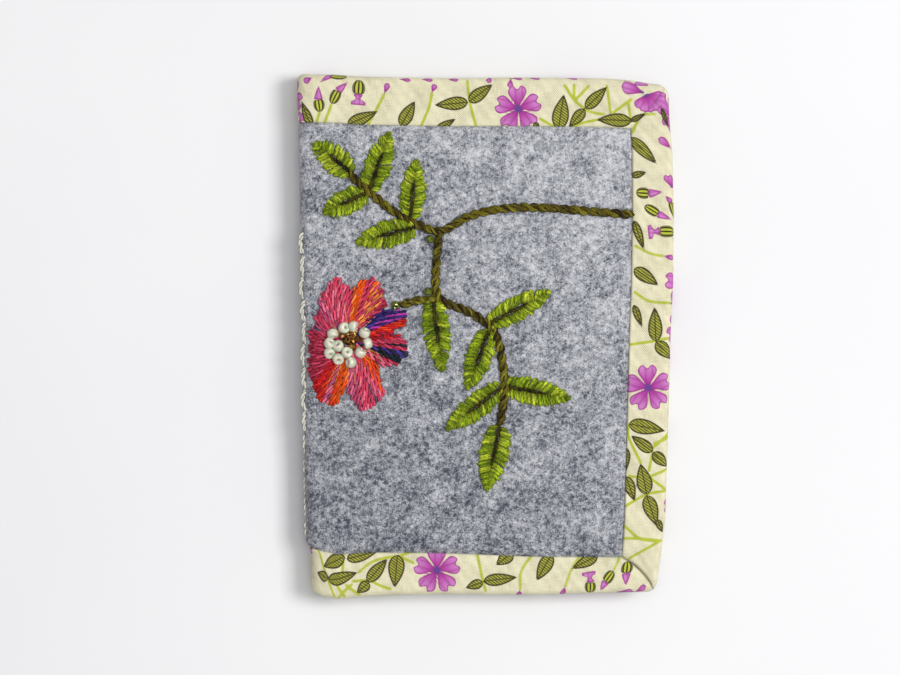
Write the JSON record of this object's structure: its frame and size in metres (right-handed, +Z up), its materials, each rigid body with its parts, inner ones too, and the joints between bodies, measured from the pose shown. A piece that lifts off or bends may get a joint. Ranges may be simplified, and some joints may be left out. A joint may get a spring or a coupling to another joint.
{
  "type": "needle case",
  "caption": "Small fabric needle book with a bound felt cover that opens flat, felt pages, a corded stem, stitched leaves and a beaded flower.",
  "frame": {"origin": "centre of the closed case in plan, at the plane it rests on", "axes": "+Z up out of the front cover, +Y along the spine towards the top edge, +X from the spine to the fore edge"},
  "size_m": [0.094, 0.132, 0.013],
  "materials": {
    "cover_felt": "grey melange wool felt",
    "page_felt": "natural cream wool felt",
    "stiffener": "stiff non-woven interlining",
    "lining": "printed plain-weave cotton",
    "binding": "printed plain-weave cotton",
    "spine_thread": "off-white cotton thread",
    "stem_thread": "olive two-ply cord",
    "leaf_thread": "lime green stranded cotton",
    "white_glass": "ivory ceylon glass",
    "green_glass": "metallic green glass",
    "gold_glass": "metallic gold glass",
    "petal_pink_upper_thread": "variegated twisted silk thread",
    "petal_orange_upper_thread": "variegated twisted silk thread",
    "petal_violet_thread": "variegated twisted silk thread",
    "petal_navy_thread": "variegated twisted silk thread",
    "petal_pink_lower_thread": "variegated twisted silk thread",
    "petal_red_lower_thread": "variegated twisted silk thread",
    "petal_crimson_thread": "variegated twisted silk thread"
  },
  "bodies": {
    "back_cover": {"back_binding_fore": "binding", "back_binding_lower": "binding", "back_binding_top": "binding", "back_felt": "cover_felt", "back_lining": "lining", "back_stiffener": "stiffener"},
    "spine": {"spine_binding_lower": "binding", "spine_binding_top": "binding", "spine_felt": "cover_felt", "spine_lining": "lining", "spine_stitches": "spine_thread"},
    "front_cover": {"flower_stalk": "stem_thread", "front_binding_fore": "binding", "front_binding_lower": "binding", "front_binding_top": "binding", "front_felt": "cover_felt", "front_lining": "lining", "front_stiffener": "stiffener", "gold_beads": "gold_glass", "green_bead_1": "green_glass", "green_bead_2": "green_glass", "green_bead_3": "green_glass", "petal_crimson": "petal_crimson_thread", "petal_navy": "petal_navy_thread", "petal_orange_upper": "petal_orange_upper_thread", "petal_pink_lower": "petal_pink_lower_thread", "petal_pink_upper": "petal_pink_upper_thread", "petal_red_lower": "petal_red_lower_thread", "petal_violet": "petal_violet_thread", "stem_across": "stem_thread", "stem_down": "stem_thread", "stitched_leaf_01": "leaf_thread", "stitched_leaf_02": "leaf_thread", "stitched_leaf_03": "leaf_thread", "stitched_leaf_04": "leaf_thread", "stitched_leaf_05": "leaf_thread", "stitched_leaf_06": "leaf_thread", "stitched_leaf_07": "leaf_thread", "stitched_leaf_08": "leaf_thread", "stitched_leaf_09": "leaf_thread", "stitched_leaf_10": "leaf_thread", "stitched_leaf_11": "leaf_thread", "white_bead_01": "white_glass", "white_bead_02": "white_glass", "white_bead_03": "white_glass", "white_bead_04": "white_glass", "white_bead_05": "white_glass", "white_bead_06": "white_glass", "white_bead_07": "white_glass", "white_bead_08": "white_glass", "white_bead_09": "white_glass", "white_bead_10": "white_glass", "white_bead_11": "white_glass", "white_bead_12": "white_glass"},
    "page_1": {"page_1": "page_felt"},
    "page_2": {"page_2": "page_felt"},
    "page_3": {"page_3": "page_felt"},
    "page_4": {"page_4": "page_felt"}
  },
  "joints": [
    {"name": "spine_fold", "type": "hinge", "parent": "back_cover", "child": "spine", "pos_m": [-0.04636, 0, 0.00064], "axis": [0, -1, 0], "range_deg": [0, 90]},
    {"name": "front_fold", "type": "hinge", "parent": "spine", "child": "front_cover", "pos_m": [-0.04636, 0, 0.01046], "axis": [0, -1, 0], "range_deg": [0, 90]},
    {"name": "page_1_turn", "type": "hinge", "parent": "spine", "child": "page_1", "pos_m": [-0.0439, 0, 0.0072], "axis": [0, -1, 0], "range_deg": [0, 45.5]},
    {"name": "page_2_turn", "type": "hinge", "parent": "spine", "child": "page_2", "pos_m": [-0.0439, 0, 0.0061], "axis": [0, -1, 0], "range_deg": [0, 15.5]},
    {"name": "page_3_turn", "type": "hinge", "parent": "spine", "child": "page_3", "pos_m": [-0.0439, 0, 0.005], "axis": [0, -1, 0], "range_deg": [-15.5, 0]},
    {"name": "page_4_turn", "type": "hinge", "parent": "spine", "child": "page_4", "pos_m": [-0.0439, 0, 0.0039], "axis": [0, -1, 0], "range_deg": [-45.5, 0]}
  ],
  "couplings": [
    {"joint": "page_1_turn", "follows": "front_fold", "ratio": 0.5},
    {"joint": "page_2_turn", "follows": "front_fold", "ratio": 0.1667},
    {"joint": "page_3_turn", "follows": "spine_fold", "ratio": -0.1667},
    {"joint": "page_4_turn", "follows": "spine_fold", "ratio": -0.5}
  ]
}
